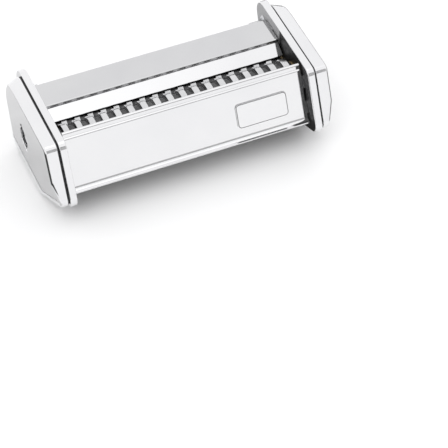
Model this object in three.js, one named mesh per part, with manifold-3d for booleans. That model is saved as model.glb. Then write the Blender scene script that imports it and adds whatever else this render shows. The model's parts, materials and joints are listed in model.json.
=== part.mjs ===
// Pasta cutter unit of a hand-cranked pasta machine, as an assembly of separate pieces.
// Millimetres. +X runs along the rollers, -Y is the front, +Z is up.
// The unit stands on the lower edges of its two end caps, and its origin is at the middle of its base box.
// The section's x is the depth from the caps' top front corner, and its y is the height.

import * as THREE from "three";
import { mergeVertices } from "three/addons/utils/BufferGeometryUtils.js";
import Module from "manifold-3d";

const wasm = await Module();
wasm.setup();

// ---------- driving dimensions ----------

// End caps: a side frame with a hollow cover on its outer face
const clearWidth = 156; // between the two side frames
const capHeight = 54;
const frontLean = 23.7; // degrees, the front panel and the caps' front edge
const rearLean = 17.5; // degrees, the rear wall and the caps' rear edge
const belowRollers = 18.9; // caps' front edge below the front roller
const frameThickness = 4.6;
const coverDepth = 9.1;
const coverWall = 1.4;
const coverInset = 1;
const seamGap = 0.1;
const topFrontRadius = 6;
const bottomFrontRadius = 7;
const heelRadius = 4;
const bottomRearRadius = 8;
const topRearRadius = 10;
const coverTopRearRadius = 13; // the covers are rounder than the side frames there
const cornerCutDepth = 4.5; // how deep the cover's lower front corner is cut, at the corner
const cornerCutReach = 17; // how far along the face that cut runs
const cornerHeading = 219; // degrees, from the middle of the face to that corner
const upperScrewDrop = 11; // below the caps' top edge
const lowerRearScrewOut = 10.5; // in front of the rear rod
const lowerFrontScrewOut = 12.6; // from the front rod
const lowerFrontScrewHeading = -58;
const pilotStop = 1; // solid left at the end of a pilot hole

// Rollers
const discRadius = 12.75;
const discPitch = 8.46;
const discSideGap = 0.23; // between the two rollers' discs
const grooveDepth = 2;
const discOverlap = 1.5;
const endMargin = 5; // least distance from a side frame to a disc's middle
const axisTilt = 5.7; // degrees, the rear roller sits a little higher along the lean
const rollerRise = 1.85; // front roller above the front edge's top corner
const journalRadius = 6;
const shaftEndGap = 0.4; // shaft end to the cover's inner face
const shaftTail = 0.5; // past the last clip groove
const frontShaftTail = 0.8; // the same at the front roller's plain end
const clipGroove = 1;
const clipRim = 2; // of a clip, past the journal
const clipRootGap = 0.3;
const clipPlay = 0.1; // on each side of a clip
const clipFromFrame = 0.6;
const socketRadius = 3.6;
const socketDepth = 10;
const socketSlot = 3;
const socketSlotDepth = 3;
const runningGap = 0.1;
const sideGap = 0.3; // along the shaft

// Bushings, rods and fasteners
const bushingWall = 2;
const bushingFlange = 1.5;
const fitGap = 0.15;
const rodRadius = 3;
const threadRadius = 2;
const threadTail = 1; // past the nut
const topRodGap = 1; // to the rear wall and to the top plate
const nutFlats = 7;
const nutHeight = 3.2;
const screwRadius = 1.4;
const screwHeadRadius = 2.8;
const screwHeadHeight = 1.6;
const postRadius = 3;
const rivetRadius = 1.4;
const rivetHeadRadius = 2.4;
const rivetHeadHeight = 1; // countersunk in the rail
const rivetHeadRecess = 0.05; // below the rail's face
const rivetTailHeight = 0.8;
const headTaper = 0.6; // of a rivet's tail or a screw's head, at its top

// Gears
const gearTeeth = 16;
const gearFromFrame = 0.4;
const shaftFlat = 4.6; // from the axis to each flat on the driven shaft end
const flatFromFrame = 0.2;
const backlash = 0.25;
const pressureAngle = 20;
const addendum = 0.9; // in modules
const dedendum = 1.15;
const footSpread = 0.02; // radians that a tooth's foot is wider than its base

// Sheet metal
const sheet = 1;
const panelGap = 1; // between a panel's end and the side frame
const panelSetback = 9.4; // front panel behind the caps' front edge
const panelClearance = 1.35; // front panel to the front discs
const panelTop = 1.7;
const panelBottom = 34.3;
const stepIn = 0.8; // the hem stands behind the face
const stepDrop = 0.6;
const hemHeight = 4;
const hemRadius = 1.3;
const hemEnd = 0.4; // rolled edge above the face's top
const lipReach = 2.5;
const lipDrop = 1.1;
const wallClearance = 1.05; // rear wall to the rear discs
const wallFoot = 6;
const seatDepth = 14.3; // caps' rear edge behind the rear wall
const plateDrop = 7; // top plate below the caps' top edge
const plateBend = 2.2;
const noseRadius = 1.1;
const noseHem = 5;
const chuteClearance = 2.65; // chute's lower edge to the rear discs
const chuteAngle = 31; // degrees, where on the rear roller that edge is
const chuteRun = 8.6; // from its lower edge to its bend, level
const chuteLap = 6.5;
const chuteGap = 0.2;
const noseLap = 0.1; // nose centre behind the chute's bend
const tabLength = 8;
const frontTabInset = 8; // tab's middle from the panel's edge
const topTabInset = 9;
const tabRecess = 0.6; // tab's end inside the frame's outer face
const slotGap = 0.3;

// Strippers
const fingerGap = 0.45;
const fingerSide = 0.3;
const fingerFrom = 35.5; // degrees round the roller, from the other roller's side
const fingerTo = 74.6;
const fingerTip = 1.1;
const fingerBack = 0.9; // finger past the bar's edge, half way down
const fingerRoot = 1.5; // finger's outer root from the plane of the axes' middles
const barTop = 1.25; // below the discs
const barThickness = 2.8;
const channelHalf = 2.8;
const hubRadius = 4.8;
const rodDrop = 4.95; // stripper rods below the discs
const hubClearance = 0.4; // stripper hub to the rear wall
const combEndGap = 0.4;
const pegAcross = 4; // peg's middle from the roller's axis
const pegLap = 2; // peg inside the comb's end
const pegReach = 3; // peg into the side frame

// Badge, rails
const badgeWidth = 34;
const badgeHeight = 16;
const badgeRadius = 2.6;
const badgeThickness = 0.5;
const badgeGap = 0.3;
const badgeFromMiddle = 48.4;
const badgeTop = 11.6;
const railLength = 30;
const railWidth = 9;
const railThickness = 1.5;
const railLip = 5.5;
const railBack = 0.5; // behind the middle of the seat
const railDrop = 4.5; // below the upper cover screw
const keyholeGap = 0.4; // round the shaft end
const keyholeNotch = 4;
const keyholeLength = 18.5;
const overshoot = 1; // of a cutting tool past the face that it leaves

// ---------- materials ----------

const chrome = new THREE.MeshStandardMaterial({ color: 0xe6e6e8, roughness: 0.12, metalness: 1 });
const steel = new THREE.MeshStandardMaterial({ color: 0xb9babc, roughness: 0.35, metalness: 1 });
const rollerSteel = new THREE.MeshStandardMaterial({ color: 0xd0d0d2, roughness: 0.2, metalness: 1 });
const bronze = new THREE.MeshStandardMaterial({ color: 0xa98a52, roughness: 0.4, metalness: 1 });
const nylon = new THREE.MeshStandardMaterial({ color: 0x2b2b2d, roughness: 0.55, metalness: 0 });

// ---------- points of the section ----------

const radians = THREE.MathUtils.degToRad;
const point = (y, z) => new THREE.Vector2(y, z);

// The unit vector at an angle measured from +x towards +y of the section plane.
function heading(degrees) {
  return point(Math.cos(radians(degrees)), Math.sin(radians(degrees)));
}

function moved(from, direction, distance) {
  return from.clone().addScaledVector(direction, distance);
}

// A place given by its depth square to the caps' front edge and its distance down along that edge.
const inwardWay = heading(-frontLean);
const downWay = heading(-90 - frontLean);
function lean(inward, down) {
  return moved(moved(point(0, capHeight), inwardWay, inward), downWay, down);
}

const discWidth = discPitch / 2 - discSideGap;
const centreDistance = 2 * discRadius - discOverlap;
const frontAxisIn = panelSetback + sheet + panelClearance + discRadius;
const frontAxisDown = discRadius - rollerRise;
const frontAxis = lean(frontAxisIn, frontAxisDown);
const rearAxis = moved(frontAxis, heading(axisTilt - frontLean), centreDistance);

// The rear wall's outer face, and lines parallel to it, at a height.
const rearOut = heading(-rearLean);
const wallPoint = moved(rearAxis, rearOut, discRadius + wallClearance + sheet);
function rearLine(offset, height) {
  const start = moved(wallPoint, rearOut, offset);
  return point(start.x + (height - start.y) * Math.tan(radians(rearLean)), height);
}

// Each roller with its comb is drawn in a frame of its own:
// "across" runs from its axis to the other roller's, and "out" leaves the nip downwards.
function rollerFrame(axis, other) {
  const across = other.clone().sub(axis).normalize();
  const out = point(across.y, -across.x);
  if (out.y > 0) out.negate();
  return (a, b) => moved(moved(axis, across, a), out, b);
}
const fromFront = rollerFrame(frontAxis, rearAxis);
const fromRear = rollerFrame(rearAxis, frontAxis);

const plateTop = capHeight - plateDrop;
const rodOffset = discRadius + wallClearance - hubRadius - hubClearance; // outward from the roller axes
const frontRod = fromFront(-rodOffset, discRadius + rodDrop);
const rearRod = fromRear(-rodOffset, discRadius + rodDrop);
const topRodInside = sheet + topRodGap + rodRadius;
const topRod = rearLine(-topRodInside, plateTop - topRodInside);
const rods = [frontRod, rearRod, topRod];

// Screws that hold each cover: one behind the rear wall, two under the strippers.
const coverScrews = [
  rearLine(seatDepth / 4, capHeight - upperScrewDrop),
  moved(rearRod, heading(180), lowerRearScrewOut),
  moved(frontRod, heading(lowerFrontScrewHeading), lowerFrontScrewOut),
];

// ---------- outlines ----------

// Corners moved inwards by a distance, with their radii to suit.
function insetCorners(corners, distance) {
  const count = corners.length;
  const edges = corners.map(({ at }, i) => {
    const along = corners[(i + 1) % count].at.clone().sub(at).normalize();
    const inside = point(-along.y, along.x);
    return { start: moved(at, inside, distance), along };
  });
  return corners.map(({ radius }, i) => {
    const before = edges[(i + count - 1) % count];
    const after = edges[i];
    const turn = before.along.cross(after.along);
    const reach = after.start.clone().sub(before.start).cross(after.along) / turn;
    return { at: moved(before.start, before.along, reach), radius: radius - distance };
  });
}

// A closed shape with each corner rounded by an arc; the corners run anticlockwise.
function roundedShape(corners) {
  const shape = new THREE.Shape();
  const count = corners.length;
  corners.forEach(({ at, radius }, i) => {
    const before = corners[(i + count - 1) % count].at.clone().sub(at).normalize();
    const after = corners[(i + 1) % count].at.clone().sub(at).normalize();
    const half = Math.acos(before.dot(after)) / 2;
    const start = moved(at, before, radius / Math.tan(half));
    const end = moved(at, after, radius / Math.tan(half));
    const middle = before.clone().add(after).normalize();
    const centre = moved(at, middle, radius / Math.sin(half));
    if (i === 0) shape.moveTo(start.x, start.y);
    else shape.lineTo(start.x, start.y);
    const from = start.sub(centre).angle();
    const to = end.sub(centre).angle();
    shape.absarc(centre.x, centre.y, radius, from, to, false);
  });
  shape.closePath();
  return shape;
}

const heelDepth = (() => {
  const corner = lean(0, frontAxisDown + discRadius + belowRollers);
  return corner.x + corner.y / Math.tan(radians(frontLean));
})();

const capCorners = [
  { at: lean(0, 0), radius: topFrontRadius },
  { at: lean(0, frontAxisDown + discRadius + belowRollers), radius: bottomFrontRadius },
  { at: point(heelDepth, 0), radius: heelRadius },
  { at: rearLine(seatDepth, 0), radius: bottomRearRadius },
  { at: rearLine(seatDepth, capHeight), radius: topRearRadius },
];
const coverCorners = [...capCorners.slice(0, -1), { ...capCorners.at(-1), radius: coverTopRearRadius }];

function polygon(points) {
  return new THREE.Shape(points.map((p) => p.clone()));
}

function circle(centre, radius, segments = 16) {
  return polygon(arc(centre, radius, 0, 360 - 360 / segments, segments - 1));
}

// A rectangle by its middle, the heading of its length, and its two sizes.
function bar(middle, angle, length, width) {
  const along = heading(angle);
  const across = heading(angle + 90);
  const corner = (a, b) => moved(moved(middle, along, (a * length) / 2), across, (b * width) / 2);
  return polygon([corner(-1, -1), corner(1, -1), corner(1, 1), corner(-1, 1)]);
}

// The outline of a folded sheet: its outer face, and the inner face one thickness to the left of it.
function sheetShape(outer, thickness) {
  const last = outer.length - 1;
  const inner = outer.map((p, i) => {
    const before = p.clone().sub(outer[Math.max(i - 1, 0)]);
    const after = outer[Math.min(i + 1, last)].clone().sub(p);
    const a = (i === 0 ? after : before).normalize();
    const b = (i === last ? before : after).normalize();
    const across = point(-a.y - b.y, a.x + b.x).normalize();
    return moved(p, across, thickness / across.dot(point(-a.y, a.x)));
  });
  return polygon([...outer, ...inner.reverse()]);
}

function arc(centre, radius, from, to, steps) {
  return Array.from({ length: steps + 1 }, (_, i) =>
    moved(centre, heading(from + ((to - from) * i) / steps), radius),
  );
}

// ---------- solids ----------

// A shape of the section plane, stretched along X.
function prism(shape, x0, length) {
  const made = new THREE.ExtrudeGeometry(shape, { depth: length, bevelEnabled: false, curveSegments: 4 });
  const basis = new THREE.Matrix4().makeBasis(
    new THREE.Vector3(0, 1, 0),
    new THREE.Vector3(0, 0, 1),
    new THREE.Vector3(1, 0, 0),
  );
  return made.applyMatrix4(basis.setPosition(x0, 0, 0));
}

// A profile of [x, radius] pairs, turned about the X axis.
function turned(profile, segments) {
  const points = profile.map(([x, radius]) => new THREE.Vector2(radius, x));
  return new THREE.LatheGeometry(points, segments).rotateZ(-Math.PI / 2);
}

function ring(x0, x1, inner, outer, segments) {
  return turned([[x0, inner], [x0, outer], [x1, outer], [x1, inner], [x0, inner]], segments);
}

function solid(geometry) {
  const bare = new THREE.BufferGeometry();
  bare.setAttribute("position", geometry.getAttribute("position"));
  bare.setIndex(geometry.index);
  const merged = mergeVertices(bare, 1e-4);
  return new wasm.Manifold(
    new wasm.Mesh({
      numProp: 3,
      vertProperties: merged.attributes.position.array,
      triVerts: new Uint32Array(merged.index.array),
    }),
  );
}

function geometryOf(manifold) {
  const mesh = manifold.getMesh();
  const geometry = new THREE.BufferGeometry();
  geometry.setAttribute("position", new THREE.BufferAttribute(mesh.vertProperties, 3));
  geometry.setIndex(new THREE.BufferAttribute(mesh.triVerts, 1));
  return geometry;
}

function joined(...geometries) {
  return geometryOf(geometries.map(solid).reduce((sum, next) => sum.add(next)));
}

function cut(geometry, ...tools) {
  return geometryOf(tools.map(solid).reduce((rest, tool) => rest.subtract(tool), solid(geometry)));
}

function node(name, geometry, material, at = point(0, 0)) {
  const mesh = new THREE.Mesh(geometry, material);
  mesh.name = name;
  mesh.position.set(0, at.x, at.y);
  return mesh;
}

// ---------- places shared by the pieces ----------

const half = clearWidth / 2; // inner face of the side frames
const frameOuter = half + frameThickness;
const coverInner = frameOuter + seamGap;
const coverOuter = coverInner + coverDepth;
const cavityEnd = coverOuter - coverWall;
const panelEnd = half - panelGap;
const bushingBore = journalRadius + runningGap;
const bushingOuter = bushingBore + bushingWall;
const flangeRadius = (bushingOuter + centreDistance / 2) / 2; // leaves room for the other roller's flange
const rollerShoulder = half - bushingFlange - sideGap;
const roundSegments = 20;
const rollerSegments = 16;
const smallSegments = 12;

// Tabs on the panels' ends and the slots that they fit in the side frames.
const wallHeading = 90 - rearLean;
const panelMiddle = panelSetback + sheet / 2;
const tabs = {
  frontPanel: [panelTop + frontTabInset, panelBottom - frontTabInset].map((down) => ({
    middle: lean(panelMiddle, down),
    angle: -90 - frontLean,
  })),
  topPanel: [
    { middle: point(rearLine(0, plateTop).x - topTabInset, plateTop - sheet / 2), angle: 0 },
    { middle: rearLine(-sheet / 2, wallFoot + topTabInset), angle: wallHeading },
  ],
};
const tabEnd = half + frameThickness - tabRecess;

function tabPair({ middle, angle }) {
  const shape = bar(middle, angle, tabLength, sheet);
  const length = tabEnd - panelEnd + 2 * overshoot;
  return [prism(shape, -tabEnd, length), prism(shape, tabEnd - length, length)];
}

// Pegs that keep each comb from turning on its rod.
const pegSize = barThickness;
const pegs = [fromFront, fromRear].map((at) => at(pegAcross, discRadius + barTop + barThickness / 2));
const pegAngle = heading(axisTilt - frontLean).angle() * THREE.MathUtils.RAD2DEG;

// ---------- end caps ----------

function sideFrame() {
  const shape = roundedShape(capCorners);
  const slots = [...tabs.frontPanel, ...tabs.topPanel].map(({ middle, angle }) =>
    bar(middle, angle, tabLength + 2 * slotGap, sheet + 2 * slotGap),
  );
  const pegHoles = pegs.map((at) => bar(at, pegAngle, pegSize + 2 * slotGap, pegSize + 2 * slotGap));
  shape.holes = [
    circle(frontAxis, bushingOuter + fitGap, roundSegments),
    circle(rearAxis, bushingOuter + fitGap, roundSegments),
    ...rods.map((at) => circle(at, threadRadius + fitGap)),
    ...coverScrews.map((at) => circle(at, screwRadius + fitGap, smallSegments)),
    ...railRivets.map((at) => circle(at, rivetRadius + fitGap, smallSegments)),
    ...slots,
    ...pegHoles,
  ];
  return prism(shape, half, frameThickness);
}

// The lower front corner of a cover is cut back by a sloping plane, so that its face turns under there.
function cornerCutter() {
  const [, corner] = insetCorners(coverCorners, coverInset);
  const towardCorner = heading(cornerHeading);
  const slope = Math.atan2(cornerCutDepth, cornerCutReach);
  const side = 4 * cornerCutReach;
  const slab = new THREE.BoxGeometry(side, side, side);
  slab.translate(side / 2, side / 2, 0); // lower edge on the origin, body outwards and to the corner
  slab.rotateZ(slope);
  slab.rotateX(radians(cornerHeading));
  const crease = moved(corner.at, towardCorner, -cornerCutReach);
  return slab.translate(coverOuter, crease.x, crease.y);
}

function coverShell() {
  const outside = roundedShape(insetCorners(coverCorners, coverInset));
  const inside = roundedShape(insetCorners(coverCorners, coverInset + coverWall));
  const cutter = cornerCutter();
  const innerCutter = cutter.clone().translate(-coverWall, 0, 0);
  const body = cut(prism(outside, coverInner, coverDepth), cutter);
  const cavityStart = coverInner - overshoot;
  const cavity = cut(prism(inside, cavityStart, cavityEnd - cavityStart), innerCutter);
  return cut(body, cavity);
}

// A cover with its screw posts, each with a blind pilot hole.
function cover(holes) {
  const postLength = cavityEnd - coverInner + coverWall / 2;
  const postShape = (at) => circle(at, postRadius, smallSegments);
  const posts = coverScrews.map((at) => prism(postShape(at), coverInner, postLength));
  const pilotStart = coverInner - overshoot;
  const pilots = coverScrews.map((at) =>
    prism(circle(at, screwRadius + fitGap, smallSegments), pilotStart, cavityEnd - pilotStop - pilotStart),
  );
  return cut(joined(coverShell(), ...posts), ...pilots, ...holes);
}

// A round hole with two notches along the caps' front edge, where the crank goes in.
function keyhole() {
  const start = cavityEnd - overshoot;
  const length = coverWall + 2 * overshoot;
  const round = prism(circle(rearAxis, journalRadius + keyholeGap, roundSegments), start, length);
  const notches = prism(bar(rearAxis, -90 - frontLean, keyholeLength, keyholeNotch), start, length);
  return joined(round, notches);
}

function bushing() {
  return turned(
    [
      [half - bushingFlange, bushingBore],
      [half - bushingFlange, flangeRadius],
      [half - seamGap, flangeRadius],
      [half - seamGap, bushingOuter],
      [frameOuter, bushingOuter],
      [frameOuter, bushingBore],
      [half - bushingFlange, bushingBore],
    ],
    roundSegments,
  );
}

function nut() {
  const hexagon = polygon(arc(point(0, 0), nutFlats / Math.sqrt(3), 0, 300, 5));
  hexagon.holes = [circle(point(0, 0), threadRadius + fitGap)];
  return prism(hexagon, coverInner, nutHeight);
}

function coverScrew() {
  const tip = coverInner + coverDepth / 2;
  return turned(
    [
      [half - seamGap - screwHeadHeight, 0],
      [half - seamGap - screwHeadHeight, screwHeadRadius * headTaper],
      [half - seamGap - screwHeadHeight / 2, screwHeadRadius],
      [half - seamGap, screwHeadRadius],
      [half - seamGap, screwRadius],
      [tip, screwRadius],
      [tip + screwRadius, 0],
    ],
    smallSegments,
  );
}

// ---------- slide rails behind the rear wall ----------

const railTop = capHeight - upperScrewDrop - railDrop;
const railMiddle = rearLine(seatDepth / 2 + railBack, railTop - railLength / 2);
const railFace = half - seamGap - railThickness;
const railRivets = [-1, 1].map((end) => moved(railMiddle, heading(wallHeading), (end * railLength) / 4));

function slideRail() {
  const base = bar(railMiddle, wallHeading, railLength, railWidth);
  const lipMiddle = moved(railMiddle, rearOut, (railWidth - railThickness) / 2);
  const lip = bar(lipMiddle, wallHeading, railLength, railThickness);
  const plate = prism(base, railFace, railThickness);
  const rail = joined(plate, prism(lip, railFace - railLip, railLip + railThickness));
  return cut(rail, ...railRivets.map((at) => countersink().translate(0, at.x, at.y)));
}

// The hole for a rivet: a cone that holds its head, then a plain hole.
function countersink() {
  const hole = rivetRadius + fitGap;
  const start = railFace - overshoot;
  const end = railFace + railThickness + overshoot;
  const mouth = hole + rivetHeadHeight + overshoot;
  const profile = [[start, 0], [start, mouth], [railFace + rivetHeadHeight, hole], [end, hole], [end, 0]];
  return turned(profile, smallSegments);
}

function rivet() {
  const head = railFace + rivetHeadRecess;
  const tail = coverInner + rivetTailHeight;
  return turned(
    [
      [head, 0],
      [head, rivetHeadRadius],
      [head + rivetHeadHeight, rivetRadius],
      [coverInner, rivetRadius],
      [coverInner, rivetHeadRadius],
      [tail, rivetHeadRadius * headTaper],
      [tail, 0],
    ],
    smallSegments,
  );
}

// ---------- rollers, gears and clips ----------

// Discs of the front roller; the rear roller's discs stand in the gaps between them.
const discCount = Math.floor((clearWidth - 2 * endMargin) / discPitch) + 1;
function discMiddles(count) {
  return Array.from({ length: count }, (_, i) => (i - (count - 1) / 2) * discPitch);
}
const rootRadius = discRadius - grooveDepth;
const shaftEnd = cavityEnd - shaftEndGap;
const clipAt = frameOuter + clipFromFrame;
const clipRoot = journalRadius - clipGroove;
const endClipAt = shaftEnd - shaftTail - clipGroove;
const gearStart = frameOuter + gearFromFrame;
const gearWidth = endClipAt - clipPlay - gearStart;

// The turned body of a roller: left shaft end, journal, discs, journal, right shaft end.
function rollerProfile(count, leftEnd) {
  const discs = discMiddles(count).flatMap((x) => [
    [x - discWidth / 2, rootRadius],
    [x - discWidth / 2, discRadius],
    [x + discWidth / 2, discRadius],
    [x + discWidth / 2, rootRadius],
  ]);
  return [
    ...leftEnd,
    [-clipAt - clipGroove, journalRadius],
    [-clipAt - clipGroove, clipRoot],
    [-clipAt, clipRoot],
    [-clipAt, journalRadius],
    [-rollerShoulder, journalRadius],
    [-rollerShoulder, rootRadius],
    ...discs,
    [rollerShoulder, rootRadius],
    [rollerShoulder, journalRadius],
    [endClipAt, journalRadius],
    [endClipAt, clipRoot],
    [endClipAt + clipGroove, clipRoot],
    [endClipAt + clipGroove, journalRadius],
    [shaftEnd, journalRadius],
    [shaftEnd, 0],
  ];
}

// Two flats on the right shaft end, which the gear's bore fits.
function flatCutters() {
  const start = frameOuter + flatFromFrame;
  const length = shaftEnd + overshoot - start;
  return [-1, 1].map((side) =>
    new THREE.BoxGeometry(length, 2 * journalRadius, journalRadius).translate(
      start + length / 2,
      0,
      side * (shaftFlat + journalRadius / 2),
    ),
  );
}

function frontRoller() {
  const end = -clipAt - clipGroove - frontShaftTail;
  const body = turned(rollerProfile(discCount, [[end, 0], [end, journalRadius]]), rollerSegments);
  return cut(body, ...flatCutters());
}

// The rear roller is the driven one: its left end is a socket with a cross slot for the crank.
function rearRoller() {
  const end = -shaftEnd;
  const socket = [
    [end + socketDepth, 0],
    [end + socketDepth, socketRadius],
    [end, socketRadius],
    [end, journalRadius],
  ];
  const body = turned(rollerProfile(discCount - 1, socket), rollerSegments);
  const slot = new THREE.BoxGeometry(2 * socketSlotDepth, 3 * journalRadius, socketSlot);
  return cut(body, slot.rotateX(radians(90 - frontLean)).translate(end, 0, 0), ...flatCutters());
}

// An involute spur gear with a bore of two flats, its first tooth pointing along the section's x.
function gear() {
  const pitchRadius = centreDistance / 2;
  const module = (2 * pitchRadius) / gearTeeth;
  const baseRadius = pitchRadius * Math.cos(radians(pressureAngle));
  const tipRadius = pitchRadius + addendum * module;
  const footRadius = pitchRadius - dedendum * module;
  const involute = (radius) => {
    const turn = Math.acos(Math.min(1, baseRadius / radius));
    return Math.tan(turn) - turn;
  };
  const halfTooth = Math.PI / (2 * gearTeeth) - backlash / (2 * pitchRadius);
  const flank = [baseRadius, pitchRadius, tipRadius].map((radius) => ({
    radius,
    angle: halfTooth + involute(pitchRadius) - involute(radius),
  }));
  const outline = Array.from({ length: gearTeeth }, (_, tooth) => {
    const middle = (tooth * 2 * Math.PI) / gearTeeth;
    const at = (radius, angle) => {
      const turn = middle + angle;
      return point(radius * Math.cos(turn), radius * Math.sin(turn));
    };
    const foot = flank[0].angle + footSpread;
    return [
      at(footRadius, -foot),
      ...flank.map(({ radius, angle }) => at(radius, -angle)),
      ...flank.map(({ radius, angle }) => at(radius, angle)).reverse(),
      at(footRadius, foot),
    ];
  }).flat();
  return prism(polygon(outline), gearStart, gearWidth);
}

function boreOfGear() {
  const round = circle(point(0, 0), journalRadius + fitGap, roundSegments);
  const bore = prism(round, gearStart - overshoot, gearWidth + 2 * overshoot);
  const flats = [-1, 1].map((side) =>
    new THREE.BoxGeometry(gearWidth + 4 * overshoot, 3 * journalRadius, journalRadius).translate(
      gearStart + gearWidth / 2,
      0,
      side * (shaftFlat + fitGap + journalRadius / 2),
    ),
  );
  return cut(bore, ...flats);
}

// A gear on its shaft, turned so that a tooth points at an angle of the section plane.
function placedGear(name, axis, angle) {
  const teeth = gear().rotateX(radians(angle));
  return node(name, cut(teeth, boreOfGear()), steel, axis);
}

function retainingClip(x) {
  const rim = journalRadius + clipRim;
  return ring(x + clipPlay, x + clipGroove - clipPlay, clipRoot + clipRootGap, rim, smallSegments);
}

// ---------- sheet metal panels ----------

// Front panel: a lip at the foot, a flat face, a small step, and a hem rolled inwards at the top.
function frontPanel() {
  const hemIn = panelSetback + stepIn;
  const hemMiddle = lean(hemIn + hemRadius, panelTop - hemHeight + hemRadius);
  const hem = arc(hemMiddle, hemRadius, 180 - frontLean, -frontLean, 6);
  const outer = [
    lean(panelSetback - lipReach, panelBottom + lipDrop),
    lean(panelSetback, panelBottom),
    lean(panelSetback, panelTop),
    lean(hemIn, panelTop - stepDrop),
    ...hem,
    lean(hemIn + 2 * hemRadius, panelTop - hemEnd),
  ].reverse();
  const body = prism(sheetShape(outer, sheet), -panelEnd, 2 * panelEnd);
  return joined(body, ...tabs.frontPanel.flatMap(tabPair));
}

// Top panel: rear wall, bend, top plate, and a rounded nose hemmed underneath.
function topPanel() {
  const edge = rearLine(0, plateTop);
  const bendBack = plateBend * Math.tan(radians((90 + rearLean) / 2));
  const bendMiddle = point(edge.x - bendBack, plateTop - plateBend);
  const bend = (radius) => arc(bendMiddle, radius, -rearLean, 90, 4);
  const noseMiddle = point(chuteTop.x + noseLap, plateTop - noseRadius);
  const outline = polygon([
    rearLine(0, wallFoot),
    ...bend(plateBend),
    ...arc(noseMiddle, noseRadius, 90, 270, 8),
    point(noseMiddle.x + noseHem, plateTop - 2 * noseRadius),
    point(noseMiddle.x + noseHem, plateTop - sheet),
    ...bend(plateBend - sheet).reverse(),
    rearLine(-sheet, wallFoot),
  ]);
  const body = prism(outline, -panelEnd, 2 * panelEnd);
  return joined(body, ...tabs.topPanel.flatMap(tabPair));
}

// Feed chute: lies under the nose and slopes down to the nip.
const chuteFoot = moved(rearAxis, heading(90 + chuteAngle), discRadius + chuteClearance);
const chuteTop = point(chuteFoot.x + chuteRun, plateTop - 2 * noseRadius - chuteGap);

function feedChute() {
  const outer = [point(chuteTop.x + chuteLap, chuteTop.y), chuteTop, chuteFoot];
  return prism(sheetShape(outer, sheet), -panelEnd, 2 * panelEnd);
}

function badge() {
  const corner = (across, down) => ({
    at: point((across * badgeWidth) / 2, (down * badgeHeight) / 2),
    radius: badgeRadius,
  });
  const shape = roundedShape([corner(-1, -1), corner(1, -1), corner(1, 1), corner(-1, 1)]);
  const settings = { depth: badgeThickness, bevelEnabled: false, curveSegments: 4 };
  const plate = new THREE.ExtrudeGeometry(shape, settings);
  const mesh = new THREE.Mesh(plate, chrome);
  mesh.name = "badge_plate";
  mesh.rotation.x = radians(90 - frontLean);
  const middle = lean(panelSetback - badgeGap, badgeTop + badgeHeight / 2);
  mesh.position.set(badgeFromMiddle, middle.x, middle.y);
  return mesh;
}

// ---------- combs that strip the dough out of the grooves ----------

function comb(at, count) {
  const rodMiddle = at(-rodOffset, discRadius + rodDrop);
  const top = discRadius + barTop;
  const edge = centreDistance / 2 - channelHalf;
  const spine = polygon([
    at(edge, top),
    at(edge, top + barThickness),
    at(-rodOffset, top + rodDrop),
    at(-rodOffset, top + barThickness / 3),
    at(0, top),
  ]);
  const combEnd = half - combEndGap;
  const hub = prism(circle(rodMiddle, hubRadius), -combEnd, 2 * combEnd);
  const peg = bar(at(pegAcross, top + barThickness / 2), pegAngle, pegSize, pegSize);
  const pegStarts = [-combEnd - pegReach, combEnd - pegLap];
  const pegSolids = pegStarts.map((start) => prism(peg, start, pegLap + pegReach));
  const inner = arc(point(0, 0), rootRadius + fingerGap, fingerTo, fingerFrom, 3);
  const tip = inner[inner.length - 1];
  const finger = polygon([
    ...inner.map((p) => at(p.x, p.y)),
    at(tip.x + fingerTip, tip.y + fingerTip / 3),
    at(edge + fingerBack, (tip.y + top) / 2),
    at(edge, top + barThickness / 3),
    at(fingerRoot, top + barThickness / 3),
  ]);
  const width = discPitch - discWidth - 2 * fingerSide;
  const fingers = discMiddles(count).map((x) => prism(finger, x - width / 2, width));
  const rodHole = prism(circle(rodMiddle, rodRadius + fitGap), -half, 2 * half);
  return cut(joined(prism(spine, -combEnd, 2 * combEnd), hub, ...pegSolids, ...fingers), rodHole);
}

// A rod that spaces the side frames, with a threaded end through each.
function tieRod() {
  const shoulder = half - seamGap;
  const end = coverInner + nutHeight + threadTail;
  return turned(
    [
      [-end, 0],
      [-end, threadRadius],
      [-shoulder, threadRadius],
      [-shoulder, rodRadius],
      [shoulder, rodRadius],
      [shoulder, threadRadius],
      [end, threadRadius],
      [end, 0],
    ],
    smallSegments,
  );
}

// ---------- assembly ----------

// The pieces of one end, drawn for the right and mirrored for the left.
function endPieces(side, holes) {
  const end = new THREE.Group();
  end.add(node(`${side}_side_frame`, sideFrame(), chrome));
  end.add(node(`${side}_cover`, cover(holes), chrome));
  end.add(node(`${side}_front_bushing`, bushing(), bronze, frontAxis));
  end.add(node(`${side}_rear_bushing`, bushing(), bronze, rearAxis));
  ["front", "rear", "top"].forEach((place, i) => {
    end.add(node(`${side}_${place}_rod_nut`, nut(), steel, rods[i]));
  });
  ["upper", "lower_rear", "lower_front"].forEach((place, i) => {
    end.add(node(`${side}_${place}_cover_screw`, coverScrew(), steel, coverScrews[i]));
  });
  end.add(node(`${side}_slide_rail`, slideRail(), steel));
  ["lower", "upper"].forEach((place, i) => {
    end.add(node(`${side}_${place}_rail_rivet`, rivet(), steel, railRivets[i]));
  });
  return end;
}

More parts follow.
